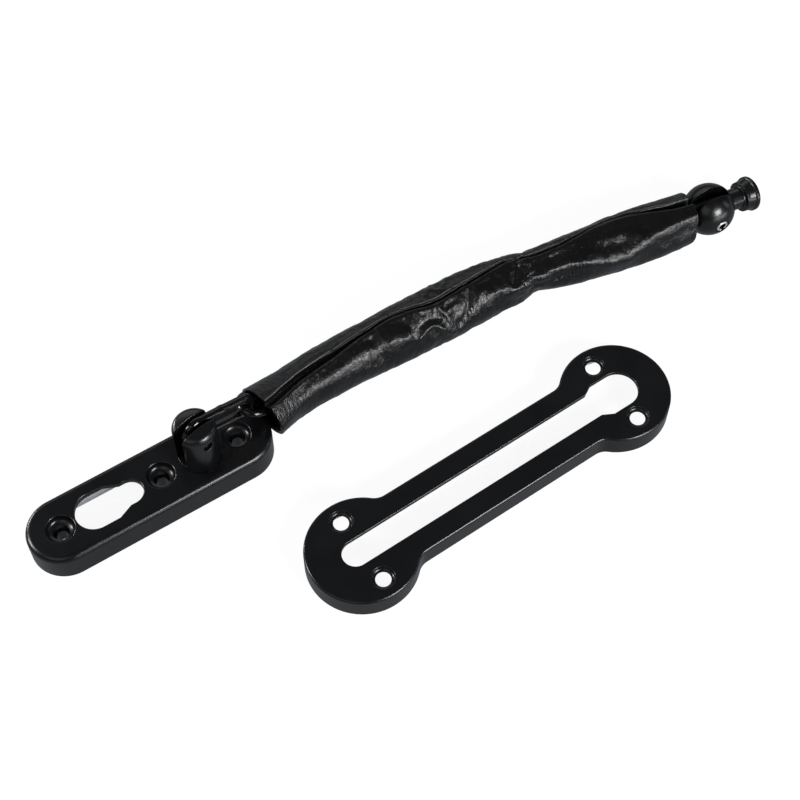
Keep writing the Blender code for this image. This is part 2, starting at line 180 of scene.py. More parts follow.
def box(name, low, high):
    corners = [(low[0], low[1]), (high[0], low[1]), (high[0], high[1]), (low[0], high[1])]
    return loft(name, [[(x, y, z) for x, y in corners] for z in (low[2], high[2])])


def boolean(obj, other, operation="DIFFERENCE"):
    """Cuts or joins at once, and removes the other body."""
    modifier = obj.modifiers.new(operation.lower(), "BOOLEAN")
    modifier.operation = operation
    modifier.object = other
    modifier.material_mode = "TRANSFER"
    apply_modifiers(obj)
    bpy.data.objects.remove(other)


def apply_modifiers(obj):
    bpy.context.view_layer.update()
    evaluated = obj.evaluated_get(bpy.context.evaluated_depsgraph_get())
    mesh = bpy.data.meshes.new_from_object(evaluated)
    obj.modifiers.clear()
    obj.data = mesh


def moved(obj, where):
    obj.data.transform(Matrix.Translation(where))
    return obj


def smooth(obj, angle=32.0):
    """Smooth shading that keeps flat faces flat."""
    obj.data.shade_smooth()
    obj.data.set_sharp_from_angle(angle=math.radians(angle))
    weighted = obj.modifiers.new("face weighted normals", "WEIGHTED_NORMAL")
    weighted.keep_sharp = True
    apply_modifiers(obj)


def coated(obj, *materials):
    obj.data.materials.clear()
    for material in materials:
        obj.data.materials.append(material)
    return obj


def softened(obj, voxel, rounds):
    """Rounds every edge a little, as a casting's or a tumbled turning's edges are."""
    remesh = obj.modifiers.new("remesh", "REMESH")
    remesh.mode = "VOXEL"
    remesh.voxel_size = voxel
    ease = obj.modifiers.new("ease", "SMOOTH")
    ease.factor = 0.5
    ease.iterations = rounds
    apply_modifiers(obj)
    obj.data.shade_smooth()


def aimed(direction):
    """A turn that takes +X along a direction and keeps Y level."""
    heading = math.atan2(direction.y, direction.x)
    fall = -math.asin(direction.z)
    return Matrix.Rotation(heading, 4, "Z") @ Matrix.Rotation(fall, 4, "Y")


def finish(obj, material, body, slot, *nodes):
    """Paints a finished piece, hangs it on its body and hides the CAD nodes that it stands for."""
    if not any(obj.data.materials):
        coated(obj, material)
    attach(obj, body)
    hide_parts(*nodes)


# ---------------------------------------------------------------- materials


def node(material, kind, inputs=None, **settings):
    """A shader node with its settings and its inputs set, or linked where a socket is given."""
    made = material.node_tree.nodes.new(kind)
    for key, value in settings.items():
        setattr(made, key, value)
    for key, value in (inputs or {}).items():
        if isinstance(value, bpy.types.NodeSocket):
            material.node_tree.links.new(value, made.inputs[key])
        else:
            made.inputs[key].default_value = value
    return made


def principled(name, **constants):
    material = bpy.data.materials.new(name)
    material.use_nodes = True
    shader = material.node_tree.nodes["Principled BSDF"]
    for key, value in constants.items():
        shader.inputs[key.replace("_", " ")].default_value = value
    return material, shader


def object_place(material):
    return node(material, "ShaderNodeTexCoord").outputs["Object"]


def noise_node(material, place, scale, detail=2.0, roughness=0.5, distortion=0.0):
    inputs = {"Vector": place, "Scale": scale, "Detail": detail, "Roughness": roughness}
    inputs["Distortion"] = distortion
    return node(material, "ShaderNodeTexNoise", inputs).outputs["Fac"]


def spread(material, value, low, high, start=0.3, end=0.7):
    """A value mapped from start..end to low..high."""
    inputs = {"Value": value, "From Min": start, "From Max": end, "To Min": low, "To Max": high}
    return node(material, "ShaderNodeMapRange", inputs).outputs["Result"]


def tint(material, value, dark, light):
    ramp = node(material, "ShaderNodeValToRGB", {"Fac": value})
    ramp.color_ramp.elements[0].position = 0.3
    ramp.color_ramp.elements[1].position = 0.7
    ramp.color_ramp.elements[0].color = (*dark, 1)
    ramp.color_ramp.elements[1].color = (*light, 1)
    return ramp.outputs["Color"]


def bumps(material, shader, *layers):
    """Stacks bump layers, each (height, strength, distance), and gives them to the shader."""
    normal = None
    for height, strength, distance in layers:
        inputs = {"Height": height, "Strength": strength, "Distance": distance}
        if normal:
            inputs["Normal"] = normal
        normal = node(material, "ShaderNodeBump", inputs).outputs["Normal"]
    material.node_tree.links.new(normal, shader.inputs["Normal"])


def enamel():
    """Satin powder coat on a casting: fine orange peel, and a slightly uneven sheen."""
    material, shader = principled("black satin enamel")
    link = material.node_tree.links.new
    place = object_place(material)
    cloud = noise_node(material, place, 70, 3)
    peel = noise_node(material, place, 1100, 2)
    grit = noise_node(material, place, 5200, 2)
    link(tint(material, cloud, (0.0026, 0.0028, 0.0033), (0.0044, 0.0047, 0.0055)),
         shader.inputs["Base Color"])
    link(spread(material, cloud, 0.23, 0.30), shader.inputs["Roughness"])
    bumps(material, shader, (peel, 0.05, 0.08 * MM), (grit, 0.02, 0.03 * MM))
    return material


def gloss():
    """Glossy black dip over drawn wire, with faint runs along it."""
    material, shader = principled("gloss black enamel")
    link = material.node_tree.links.new
    place = object_place(material)
    cloud = noise_node(material, place, 160, 3)
    runs = noise_node(material, place, 420, 2, distortion=0.6)
    pits = noise_node(material, place, 2600, 2)
    link(tint(material, cloud, (0.0025, 0.0025, 0.0028), (0.0045, 0.0045, 0.005)),
         shader.inputs["Base Color"])
    link(spread(material, cloud, 0.10, 0.18), shader.inputs["Roughness"])
    bumps(material, shader, (runs, 0.2, 0.15 * MM), (pits, 0.08, 0.03 * MM))
    return material


def metal(name, colour, roughness, across, metallic=1.0):
    """Bare plated steel or zinc with fine marks of its drawing, stamping or casting."""
    dark = tuple(0.8 * c for c in colour)
    material, shader = principled(name, Metallic=metallic)
    link = material.node_tree.links.new
    place = object_place(material)
    drawn = node(material, "ShaderNodeMapping", {"Vector": place, "Scale": across})
    lines = noise_node(material, drawn.outputs["Vector"], 900, 3)
    cloud = noise_node(material, place, 500, 3)
    link(tint(material, cloud, dark, colour), shader.inputs["Base Color"])
    link(spread(material, lines, roughness * 0.75, roughness * 1.3), shader.inputs["Roughness"])
    bumps(material, shader, (lines, 0.15, 0.02 * MM))
    return material


def leather():
    """Smooth-finished black leather: pebbled grain, pores and a polish that comes and goes."""
    material, shader = principled("black leather")
    shader.inputs["Specular IOR Level"].default_value = 0.46
    link = material.node_tree.links.new
    place = node(material, "ShaderNodeAttribute", attribute_name="unrolled").outputs["Vector"]
    warp = node(material, "ShaderNodeTexNoise", {"Vector": place, "Scale": 0.9, "Detail": 2.0})
    offset = node(material, "ShaderNodeVectorMath", {0: warp.outputs["Color"], 1: (0.5, 0.5, 0.5)},
                  operation="MULTIPLY").outputs["Vector"]
    bent = node(material, "ShaderNodeVectorMath", {0: place, 1: offset},
                operation="ADD").outputs["Vector"]
    cells = node(material, "ShaderNodeTexVoronoi", {"Vector": bent, "Scale": 1.0},
                 feature="DISTANCE_TO_EDGE").outputs["Distance"]
    pebbles = spread(material, cells, 0.0, 1.0, 0.0, 0.28)
    fine = node(material, "ShaderNodeTexVoronoi", {"Vector": bent, "Scale": 2.6},
                feature="F1").outputs["Distance"]
    across = node(material, "ShaderNodeMapping", {"Vector": bent, "Scale": (1.0, 0.2, 1.0)})
    pleats = noise_node(material, across.outputs["Vector"], 1.4, 3, 0.55)
    cloud = noise_node(material, place, 0.12, 3)
    polish = noise_node(material, place, 0.45, 3)
    link(tint(material, cloud, (0.0028, 0.0028, 0.0032), (0.0050, 0.0050, 0.0056)),
         shader.inputs["Base Color"])
    link(spread(material, polish, 0.18, 0.25), shader.inputs["Roughness"])
    bumps(material, shader, (pleats, 1.0, 0.38 * MM), (pebbles, 0.45, 0.06 * MM),
          (fine, 0.25, 0.04 * MM))
    return material


def thread():
    """Twisted black polyester thread. Its twist bands are its own; its grey tone, lighter than black thread,
    is a painted glint along the stitches.
    """
    material, shader = principled("black thread", Roughness=0.22)
    place = object_place(material)
    twist = node(material, "ShaderNodeTexWave", {"Vector": place, "Scale": 900.0},
                 bands_direction="DIAGONAL").outputs["Fac"]
    # Both ends of the tint are grey rather than black: painted glint on the stitches.
    material.node_tree.links.new(
        tint(material, twist, (0.09, 0.09, 0.092), (0.20, 0.20, 0.205)),
        shader.inputs["Base Color"])
    bumps(material, shader, (twist, 0.5, 0.03 * MM))
    return material


ENAMEL = enamel()
GLOSS = gloss()
NICKEL = metal("bright nickel", (0.95, 0.95, 0.94), 0.42, (1, 8, 1))
CASTING = metal("bare zinc casting", (0.80, 0.81, 0.82), 0.5, (1, 1, 1), 0.3)
ZINC = metal("dull zinc", (0.62, 0.63, 0.66), 0.38, (6, 1, 1))
LEATHER = leather()
THREAD = thread()


# ---------------------------------------------------------------- frame plate and post

POST_AXIS = Vector(JOINTS["post_swivel"]["pos_m"])
FRAME_LOW, FRAME_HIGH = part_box("frame_plate")
FRAME_R = (FRAME_HIGH.y - FRAME_LOW.y) / 2
FRAME_HALF = FRAME_HIGH.x - FRAME_R
FRAME_EDGE = 1.95 * MM
FRAME_WALL = 1.8 * MM
FRAME_TOP_WALL = 2.0 * MM
FRAME_FOOT = 0.15 * MM
FRAME_SCREWS = (-31.3 * MM, 3.7 * MM, 30.9 * MM)
BOSS_R, BOSS_FOOT, BOSS_DRAFT = 5.2 * MM, 0.2 * MM, 0.15 * MM
PAD_R, PAD_LOW = 7.0 * MM, 7.9 * MM
POST_BORE_R, POST_BORE_LOW = 3.7 * MM, 6 * MM
CLEARANCE = 0.3 * MM  # between pieces that touch
# A screw hole's curved dish: how far out and up it has come, as parts of its width and height
DISH_CURVE = ((0.12, 0.04), (0.4, 0.12), (0.7, 0.3), (0.9, 0.6), (1.0, 0.97))
# Radii of a screw hole at its back, in its bore and at the face. The CAD has 2.35 mm right through
# and 4.7 mm at the face. The back is drawn narrower, so that less of the floor shows through it.
FRAME_HOLE = (2.0 * MM, 2.6 * MM, 5.0 * MM)
# How far below the face the dish ends, and where the bore narrows
FRAME_DEPTHS = (2.5 * MM, 5.6 * MM)
# A keyhole: its wide end's middle and radius, how far its straight side and then its taper run,
# and its narrow end's middle and radius
PARKING = (-19.4 * MM, 6.4 * MM, 5.6 * MM, 4.8 * MM, -7.2 * MM, 4.3 * MM)
LIP = 0.45 * MM  # rounding of an opening's edge
# A spring pin's wall and rounded ends as parts of its radius, and half its slit in degrees
PIN_WALL, PIN_EDGE, PIN_SLIT = 0.44, 0.22, 22.0
# Each spring pin's radius, length, and the turn of its slit in degrees
POST_PIN = (1.3 * MM, 11.6 * MM, 40)
BALL_PIN = (2.2 * MM, 17.4 * MM, -70)
CASTING_VOXEL, CASTING_EASE = 0.17 * MM, 5  # how finely a casting's edges are rounded


def grown(keyhole_sizes, inset):
    """The keyhole with its outline moved inwards by a distance."""
    wide_x, wide_r, straight, taper, narrow_x, narrow_r = keyhole_sizes
    return keyhole(wide_x, wide_r - inset, straight, taper, narrow_x, narrow_r - inset)


def dished_hole(name, place, face, radii, depths, lip, low):
    """A cutter for a screw hole: narrow hole, bore, curved dish and rounded lip."""
    hole_r, bore_r, dish_r = radii
    foot, ledge = face - depths[0], face - depths[1]
    wide = dish_r - lip - bore_r
    tall = face - lip - foot
    profile = [(hole_r, low), (hole_r, ledge), (bore_r, ledge + bore_r - hole_r), (bore_r, foot)]
    profile += [(bore_r + a * wide, foot + b * tall) for a, b in DISH_CURVE]
    profile += [(dish_r - lip - inset, z) for inset, z in flared(0, face, lip)[1:]]
    return moved(turned(name, profile, 64), (*place, 0))


def frame_plate():
    """A hollow die-cast plate with screw bosses, a keyhole that parks the button, and a pad for the post."""
    top = FRAME_HIGH.z
    ceiling = top - FRAME_TOP_WALL
    plate = layered("frame_plate_fine", lambda inset: stadium(FRAME_HALF, FRAME_R - inset),
                    rounded_top(0, top, FRAME_EDGE, foot=FRAME_FOOT))
    hollow = layered("hollow", lambda inset: stadium(FRAME_HALF, FRAME_R - FRAME_WALL - inset),
                     rounded_top(-MM, ceiling, FRAME_WALL / 2, 4))
    coated(plate, ENAMEL)
    boolean(plate, coated(hollow, CASTING))
    root = top - FRAME_TOP_WALL / 2
    for x in FRAME_SCREWS:
        boss = turned("boss", [(BOSS_R - BOSS_FOOT, 0), (BOSS_R, BOSS_FOOT), (BOSS_R + BOSS_DRAFT, root)])
        boolean(plate, moved(coated(boss, CASTING), (x, 0, 0)), "UNION")
    pad = turned("pad", [(PAD_R, PAD_LOW), (PAD_R, root)])
    boolean(plate, moved(coated(pad, CASTING), (POST_AXIS.x, 0, 0)), "UNION")
    for x in FRAME_SCREWS:
        boolean(plate, dished_hole("screw hole", (x, 0), top, FRAME_HOLE, FRAME_DEPTHS, LIP, -MM))
    slot = layered("parking", lambda inset: grown(PARKING, inset), flared(ceiling - MM, top, LIP))
    boolean(plate, slot)
    bore = turned("bore", [(POST_BORE_R, POST_BORE_LOW), (POST_BORE_R, top + MM)])
    boolean(plate, moved(bore, (POST_AXIS.x, 0, 0)))
    smooth(plate)
    finish(plate, ENAMEL, "frame", "black_enamel", "frame_plate")


def roll_pin(name, material, centre, along, sizes, node_name, body):
    """A slotted spring pin: rolled strip with rounded ends and a straight slit, with black enamel painted on
    its bore's wall as shade.
    """
    radius, length, slit_turn = sizes
    wall = radius * PIN_WALL
    upper = rounded_top(0, length / 2, PIN_EDGE * radius, 5)
    levels = [(inset, -z) for inset, z in reversed(upper)] + upper

    def outline(inset):
        outer = arc((0, 0), radius - inset, PIN_SLIT, 360 - PIN_SLIT, 56)
        return outer + arc((0, 0), radius - wall + inset / 2, 360 - PIN_SLIT, PIN_SLIT, 56)

    # The bore's inner wall takes the black enamel instead of the pin's metal: painted shade inside the pin.
    pin = coated(layered(name, outline, levels), material, ENAMEL)
    for face in pin.data.polygons:
        shade_painted_bore = math.hypot(face.center.x, face.center.y) < radius - 0.8 * wall
        face.material_index = 1 if shade_painted_bore and abs(face.normal.z) < 0.6 else 0
    pin.data.transform(Matrix.Rotation(math.radians(slit_turn), 4, "Z"))
    pin.data.transform(Matrix.Rotation(math.pi / 2, 4, "X"))
    pin.data.transform(Matrix.Translation(centre) @ aimed(along))
    smooth(pin)
    finish(pin, material, body, "bright_steel", node_name)


def swivel_post():
    """The round-shouldered post, slotted across for the first link, with its spigot inside the plate."""
    low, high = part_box("swivel_post")
    radius = (high.y - low.y) / 2
    slot_half = 2.25 * MM
    crown_slope = math.radians(20)
    shoulder_r = 2.4 * MM
    crown_r = (radius - shoulder_r + shoulder_r * math.sin(crown_slope)) / math.sin(crown_slope)
    crown_z = high.z - math.sqrt(crown_r**2 - slot_half**2)
    shoulder_z = crown_z + (crown_r - shoulder_r) * math.cos(crown_slope)
    seat = FRAME_HIGH.z + CLEARANCE
    spigot_r = 3.4 * MM
    groove_r, groove_low, groove_high = 2.6 * MM, 4.9 * MM, 6.3 * MM
    foot = 0.2 * MM
    profile = [(foot, low.z), (spigot_r, low.z), (spigot_r, groove_low), (groove_r, groove_low)]
    profile += [(groove_r, groove_high), (spigot_r, groove_high), (spigot_r, seat)]
    profile += [(radius - foot, seat), (radius, seat + foot)]
    profile += arc((radius - shoulder_r, shoulder_z), shoulder_r, 0, 70, 14)
    profile += arc((0, crown_z), crown_r, 71, 89.6, 8)
    post = turned("swivel_post_fine", profile)
    slot_floor = 13.6 * MM
    reach = 2 * radius
    boolean(post, box("slot", (-reach, -slot_half, slot_floor), (reach, slot_half, 2 * high.z)))
    pin = STATIONS[0]
    hole_r = 1.6 * MM
    hole = turned("hole", [(hole_r, -reach), (hole_r, reach)], 48)
    hole.data.transform(Matrix.Translation((0, 0, pin.z)) @ Matrix.Rotation(math.pi / 2, 4, "X"))
    boolean(post, hole)
    softened(post, CASTING_VOXEL, CASTING_EASE)
    level = Vector((RUNS[0].x, RUNS[0].y, 0)).normalized()
    post.data.transform(Matrix.Translation((POST_AXIS.x, POST_AXIS.y, 0)) @ aimed(level))
    finish(post, ENAMEL, "post", "black_enamel", "swivel_post")
    roll_pin("post_roll_pin_fine", GLOSS, pin, level, POST_PIN, "post_roll_pin", "post")


# ---------------------------------------------------------------- chain

# The wire's radius. The CAD has 1.5 mm: the difference keeps links 1 and 2 apart when they swing.
WIRE_R = 1.475 * MM
# The middle line of a link's wire: radius of its bends, and half the run between their centres
LINK_BEND = 3.95 * MM
LINK_HALF = 9.05 * MM
# How far a link's near end lies behind its joint: the first link's, then the others'
LINK_BACK = (3.1 * MM, 3.3 * MM)
WELD = 0.13  # how far the weld stands out, as a part of the wire's radius
LINK_1_PLAY = Vector((0, 0.4, 0.6)) * MM  # where the first link lies in the post's slot


def link_path():
    """Points round a link's middle line in its own XY plane, with a mark along the welded side."""
    far = arc((LINK_HALF, 0), LINK_BEND, -90, 90, 28)
    near = arc((-LINK_HALF, 0), LINK_BEND, 90, 270, 28)
    side = [LINK_HALF * (1 - 2 * i / 32) for i in range(1, 32)]
    path = [(x, y, 0.0) for x, y in far]
    path += [(x, LINK_BEND, math.exp(-((x / (0.9 * MM)) ** 2))) for x in side]
    path += [(x, y, 0.0) for x, y in near]
    return path + [(-x, -LINK_BEND, 0.0) for x in side]


def chain_link(k):
    """A bent wire link, butt-welded in the middle of one side."""
    path = link_path()
    count, sides = len(path), 24
    form = bmesh.new()
    rings = []
    for i, (x, y, weld) in enumerate(path):
        before, after = path[i - 1], path[(i + 1) % count]
        along = Vector((after[0] - before[0], after[1] - before[1], 0)).normalized()
        out = Vector((along.y, -along.x, 0))
        ring = []
        for j in range(sides):
            a = 2 * math.pi * j / sides
            bead = 1 + WELD * weld * (1 + 0.4 * noise.noise(Vector((9 * x / MM, 3 * a, k))))
            spoke = out * math.cos(a) + Vector((0, 0, math.sin(a)))
            ring.append(form.verts.new(Vector((x, y, 0)) + spoke * WIRE_R * bead))
        rings.append(ring)
    for i in range(count):
        band(form, rings[i], rings[(i + 1) % count])
    link = built(form, f"link {k}", f"chain_link_{k}_fine")
    link.data.shade_smooth()
    reach = LINK_HALF + LINK_BEND - LINK_BACK[0 if k == 1 else 1]
    turn = aimed(RUNS[k - 1])
    centre = STATIONS[k - 1] + turn @ Vector((reach, 0, 0))
    if k == 1:
        centre += turn @ LINK_1_PLAY
    upright = Matrix.Rotation(math.pi / 2 if k % 2 else 0, 4, "X")
    link.data.transform(Matrix.Translation(centre) @ turn @ upright)
    finish(link, GLOSS, f"link_{k}", "gloss_black", f"chain_link_{k}")


# ---------------------------------------------------------------- end ball

BALL_R = 9.05 * MM
BALL_HEADING = math.radians(-3.8)
BALL_DROOP = math.radians(6.2)
BALL_AIM = Vector((math.cos(BALL_HEADING) * math.cos(BALL_DROOP),
                   math.sin(BALL_HEADING) * math.cos(BALL_DROOP), -math.sin(BALL_DROOP)))


def end_ball():
    """The slotted ball with its stem, collar and button, turned from one bar."""
    soft = 0.3 * MM
    # The CAD's collar and cone have radii of 4.8 and 5.5 mm
    stem_r, collar_r, cone_r, button_r = 3.8 * MM, 5.3 * MM, 5.7 * MM, 6.15 * MM
    collar_x, cone_x, rim_x, end_x = 13.2 * MM, 14.2 * MM, 16.5 * MM, 18.0 * MM
    flat_r = 6.0 * MM
    flat_x = math.sqrt(BALL_R**2 - flat_r**2)
    meets = math.degrees(math.asin(flat_x / BALL_R))
    profile = arc((0, 0), BALL_R, -89, meets, 48)
    profile += [(stem_r + soft, flat_x), (stem_r, flat_x + soft), (stem_r, collar_x)]
    profile += [(collar_r, collar_x), (collar_r, cone_x), (cone_r, rim_x), (button_r, rim_x)]
    centre_r = 0.2 * MM
    profile += [(button_r, end_x - soft), (button_r - soft, end_x), (centre_r, end_x)]
    ball = turned("end_ball_fine", profile)
    ball.data.transform(Matrix.Rotation(math.pi / 2, 4, "Y"))
    slot_half, slot_end = 2.1 * MM, 5.95 * MM
    reach = 2 * BALL_R
    boolean(ball, box("slot", (-reach, -slot_half, -reach), (slot_end, slot_half, reach)))
    hole_r = 2.5 * MM
    hole = turned("hole", [(hole_r, -reach), (hole_r, reach)], 48)
    hole.data.transform(Matrix.Rotation(math.pi / 2, 4, "X"))
    boolean(ball, hole)
    softened(ball, CASTING_VOXEL, CASTING_EASE)
    ball.data.transform(Matrix.Translation(STATIONS[-1]) @ aimed(BALL_AIM))
    finish(ball, ENAMEL, "ball", "black_enamel", "end_ball")
    roll_pin("end_roll_pin_fine", NICKEL, STATIONS[-1], BALL_AIM, BALL_PIN, "end_roll_pin", "ball")


# ---------------------------------------------------------------- track plate

TRACK_LOW, TRACK_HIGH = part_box("track_plate")
TRACK_CENTRE = (TRACK_LOW + TRACK_HIGH) / 2
TRACK_TURN = math.radians(2.35)
TRACK_HALF, TRACK_END_R, TRACK_BAR_R, TRACK_FILLET = 49.6 * MM, 18.2 * MM, 11.8 * MM, 5.6 * MM
TRACK_EDGE, TRACK_WALL, TRACK_FOOT, TRACK_LIP = 0.85 * MM, 1.4 * MM, 0.12 * MM, 0.3 * MM
TRACK_RUN = (51.0 * MM, 6.4 * MM, 6.7 * MM, 3.7 * MM, -52.0 * MM, 4.4 * MM)
# As FRAME_HOLE and FRAME_DEPTHS. The CAD has 2.4 mm, and 3.5 mm at the face.
TRACK_HOLE = (2.4 * MM, 2.5 * MM, 4.0 * MM)
TRACK_DEPTHS = (1.3 * MM, 1.6 * MM)
TRACK_HOLES = [(x * 49.7 * MM, y * 11.6 * MM) for x in (-1, 1) for y in (-1, 1)]


def track_plate():
    """A hollow die-cast dog-bone with the long keyhole that the button slides in."""
    top = TRACK_HIGH.z
    ceiling = top - TRACK_WALL

    def outer(inset):
        return dog_bone(TRACK_HALF, TRACK_END_R - inset, TRACK_BAR_R - inset, TRACK_FILLET + inset)

    plate = layered("track_plate_fine", outer, rounded_top(0, top, TRACK_EDGE, 6, TRACK_FOOT))
    hollow = layered("hollow", lambda inset: outer(TRACK_WALL + inset),
                     rounded_top(-MM, ceiling, 0.5 * MM, 3))
    coated(plate, ENAMEL)
    boolean(plate, coated(hollow, CASTING))
    slot = layered("run", lambda inset: grown(TRACK_RUN, inset), flared(ceiling - MM, top, TRACK_LIP))
    boolean(plate, slot)
    for spot in TRACK_HOLES:
        hole = dished_hole("screw hole", spot, top, TRACK_HOLE, TRACK_DEPTHS, TRACK_LIP, ceiling - MM)
        boolean(plate, hole)
    smooth(plate)
    plate.data.transform(Matrix.Translation((TRACK_CENTRE.x, TRACK_CENTRE.y, 0))
                         @ Matrix.Rotation(TRACK_TURN, 4, "Z"))
    finish(plate, ENAMEL, "track", "black_enamel", "track_plate")


def inner_rings():
    """The washer and the retaining ring inside the frame plate keep their CAD shape."""
    for name in ("post_washer", "post_retaining_ring"):
        ring = frame["nodes"][name]
        ring.material_slots[0].material = ZINC


# ---------------------------------------------------------------- leather sleeve
# Lengths here are in mm. Places on the sleeve are (x, degrees from its top towards its front side,
# -Y), and each table gives a value at some places along x.

SLEEVE_START, SLEEVE_END = 41.6, 204.2
ROWS, COLUMNS = 362, 160
LEATHER_MM = 1.0
MEAN_R = 8.6  # for turning degrees round the sleeve into mm
REST_Z = 8.85
FLOOR_GAP = 0.35
# The mouth's cut leans back, and its underside a little more to clear the frame plate's end
MOUTH_LEAN, MOUTH_CLEARANCE, MOUTH_REACH = 2.9, 0.7, 18
STITCH_COLUMN = COLUMNS // 2 - 13  # on the seam's rear lip
STITCH_R, STITCH_SIDES = 0.17, 6
STITCH_PITCH, STITCH_LENGTH = 2, 1.5  # in rows of the sleeve
# A stitch's middle line: how far along it, and the height above the leather
STITCH_ARCH = ((0, -0.1), (0.3, 0.13), (0.7, 0.13), (1, -0.1))
SEAM = ((39, 27), (45, 24), (50, 18), (55, 12), (63, 7), (72, 3), (78, -1), (85, -4), (93, -9),
        (100, -5), (107, 5), (111, 5), (118, -1), (128, -6), (138, -21), (144, -13), (150, -12),
        (158, -13), (166, -23), (174, -31), (182, -28), (188, -22), (194, -16), (205, -7))
RADIUS = ((40, 10.0), (44, 9.6), (50, 9.0), (60, 8.8), (75, 8.8), (92, 8.9), (104, 8.9), (116, 8.7),
          (126, 8.4), (136, 7.7), (143, 7.0), (149, 6.8), (156, 7.4), (165, 8.2), (176, 8.7),
          (188, 8.7), (197, 8.3), (205, 7.9))
# Extra radius behind the top and below the front, where the leather stands off the chain
REAR_SWELL = ((40, -1.0), (56, -0.8), (66, 0.3), (90, 0.2), (104, 0.6), (116, 1.1), (128, 1.7),
              (140, 1.7), (150, 1.4), (160, 1.0), (170, 1.1), (180, 1.6), (196, 1.9), (205, 1.2))
FRONT_SWELL = ((40, 0.0), (75, 0.2), (80, 0.7), (88, 1.0), (100, 1.0), (107, 1.3), (114, 1.0),
               (124, 0.8), (134, 0.5), (140, 0.8), (150, 0.1), (156, 0.7), (170, 0.4), (188, 0.4),
               (205, 0.6))
# Folds: a path, its height (below 0 for a valley) and its half width, in mm
FOLDS = (
    (((40, 88), (52, 61), (71, 38), (80, 28)), 0.45, 3.2),
    (((58, 12), (70, 8), (84, 12)), -0.35, 2.5),
    (((89, 40), (95, 46)), 0.60, 3.2),
    (((82, 66), (90, 74), (100, 84)), -0.45, 3.0),
    (((84, 22), (85, 48), (86, 84)), -0.50, 2.2),
    (((97, 20), (98, 46), (98, 70)), -0.50, 1.7),
    (((71, 20), (72, 50), (70, 80)), -0.28, 2.4),
    (((56, 30), (57, 66)), -0.20, 2.6),
    (((99, 64), (102, 50), (105, 46), (108, 63)), 0.50, 0.95),
    (((100, 40), (104, 32), (109, 42)), -0.45, 1.6),
    (((108, 63), (110, 79), (112, 84)), 0.50, 0.9),
    (((111, 74), (111, 49), (109, 18)), 0.55, 1.1),
    (((106, 70), (107, 92), (104, 108)), -0.45, 1.6),
    (((115, 14), (114, 40), (114, 66)), -0.50, 1.5),
    (((107, -48), (110, -33), (114, -14)), 0.40, 0.9),
    (((112, -52), (111, -36), (108, -22)), 0.35, 0.8),
    (((116, -44), (113, -30)), -0.35, 1.0),
    (((122, 8), (120, 31), (118, 52), (115, 72)), -0.60, 1.0),
    (((124, 20), (123, 46), (121, 66)), 0.35, 1.4),
    (((127, 40), (134, 42)), 0.70, 3.0),
    (((130, 70), (136, 84), (140, 104)), -0.60, 2.2),
    (((142, -24), (140, 2), (137, 40)), -0.75, 1.1),
    (((144, -10), (143, 14)), 0.40, 1.6),
    (((145, 66), (144, 84), (146, 118)), -1.50, 2.6),
    (((136, 50), (143, 62), (149, 58)), 0.50, 1.4),
    (((138, 46), (146, 50), (151, 42), (158, 40), (165, 54), (172, 65), (178, 70), (183, 56),
      (189, 36), (197, 30), (206, 32)), 0.95, 2.9),
    (((150, 10), (160, 12), (170, 24), (178, 30)), -0.55, 3.6),
    (((184, 84), (190, 66), (198, 60), (206, 62)), -0.50, 3.6),
    (((150, 70), (158, 66), (166, 80)), -0.40, 2.6),
    (((172, 6), (180, 14)), 0.30, 2.6),
    (((150, -60), (160, -52), (172, -56)), -0.40, 2.4),
    (((62, -60), (74, -52), (88, -60)), -0.25, 3.0),
    (((126, -60), (134, -74), (138, -96)), -0.60, 1.8),
    (((104, -84), (108, -102), (105, -124)), 0.45, 1.4),
    (((146, -52), (145, -80), (148, -112)), -0.90, 2.2),
    (((180, -70), (190, -86), (198, -84)), -0.45, 2.6),
)


def eased(table, x, width=4.0):
    """A table of (x, value) read along x, with its corners rounded over a width."""
    places, values = np.array(table, float).T
    steps = np.linspace(-1, 1, 9) * width
    weights = np.exp(-2 * (steps / width) ** 2)
    total = sum(w * np.interp(x + d, places, values) for d, w in zip(steps, weights))
    return total / weights.sum()


def swell(table, x, angle, middle):
    """Extra radius on one side of the sleeve, fading out 50 degrees from its middle."""
    away = (angle - middle + 180) % 360 - 180
    return eased(table, x)[:, None] * np.exp(-((away / 50) ** 2))


def centre_line(x):
    """The sleeve's middle line: the chain's route, with a soft end that hangs over the frame plate."""
    chain = [(p.x / MM, p.y / MM) for p in STATIONS[1:]]
    y = eased(chain, x, 6.0) + eased(((40, -2.2), (48, -0.8), (60, 0.0)), x)
    z = eased(((36, 14.3), (42, 12.8), (50, 10.8), (60, 9.3), (68, REST_Z), (80, REST_Z)), x)
    return np.stack([x, y, z], axis=1)


def fold_height(x, angle):
    """The height of all folds over each place of the sleeve."""
    height = np.zeros_like(x)
    round_mm = math.radians(1) * MEAN_R
    for path, rise, width in FOLDS:
        nearest = np.full_like(x, 1e9)
        for (x0, a0), (x1, a1) in zip(path, path[1:]):
            run, climb = x1 - x0, (a1 - a0) * round_mm
            off_x = x - x0
            off_a = (((angle - a0) + 180) % 360 - 180) * round_mm
            t = np.clip((off_x * run + off_a * climb) / (run**2 + climb**2), 0, 1)
            nearest = np.minimum(nearest, np.hypot(off_x - t * run, off_a - t * climb))
        height += rise * np.exp(-np.abs(nearest / width) ** 1.7)
    return height


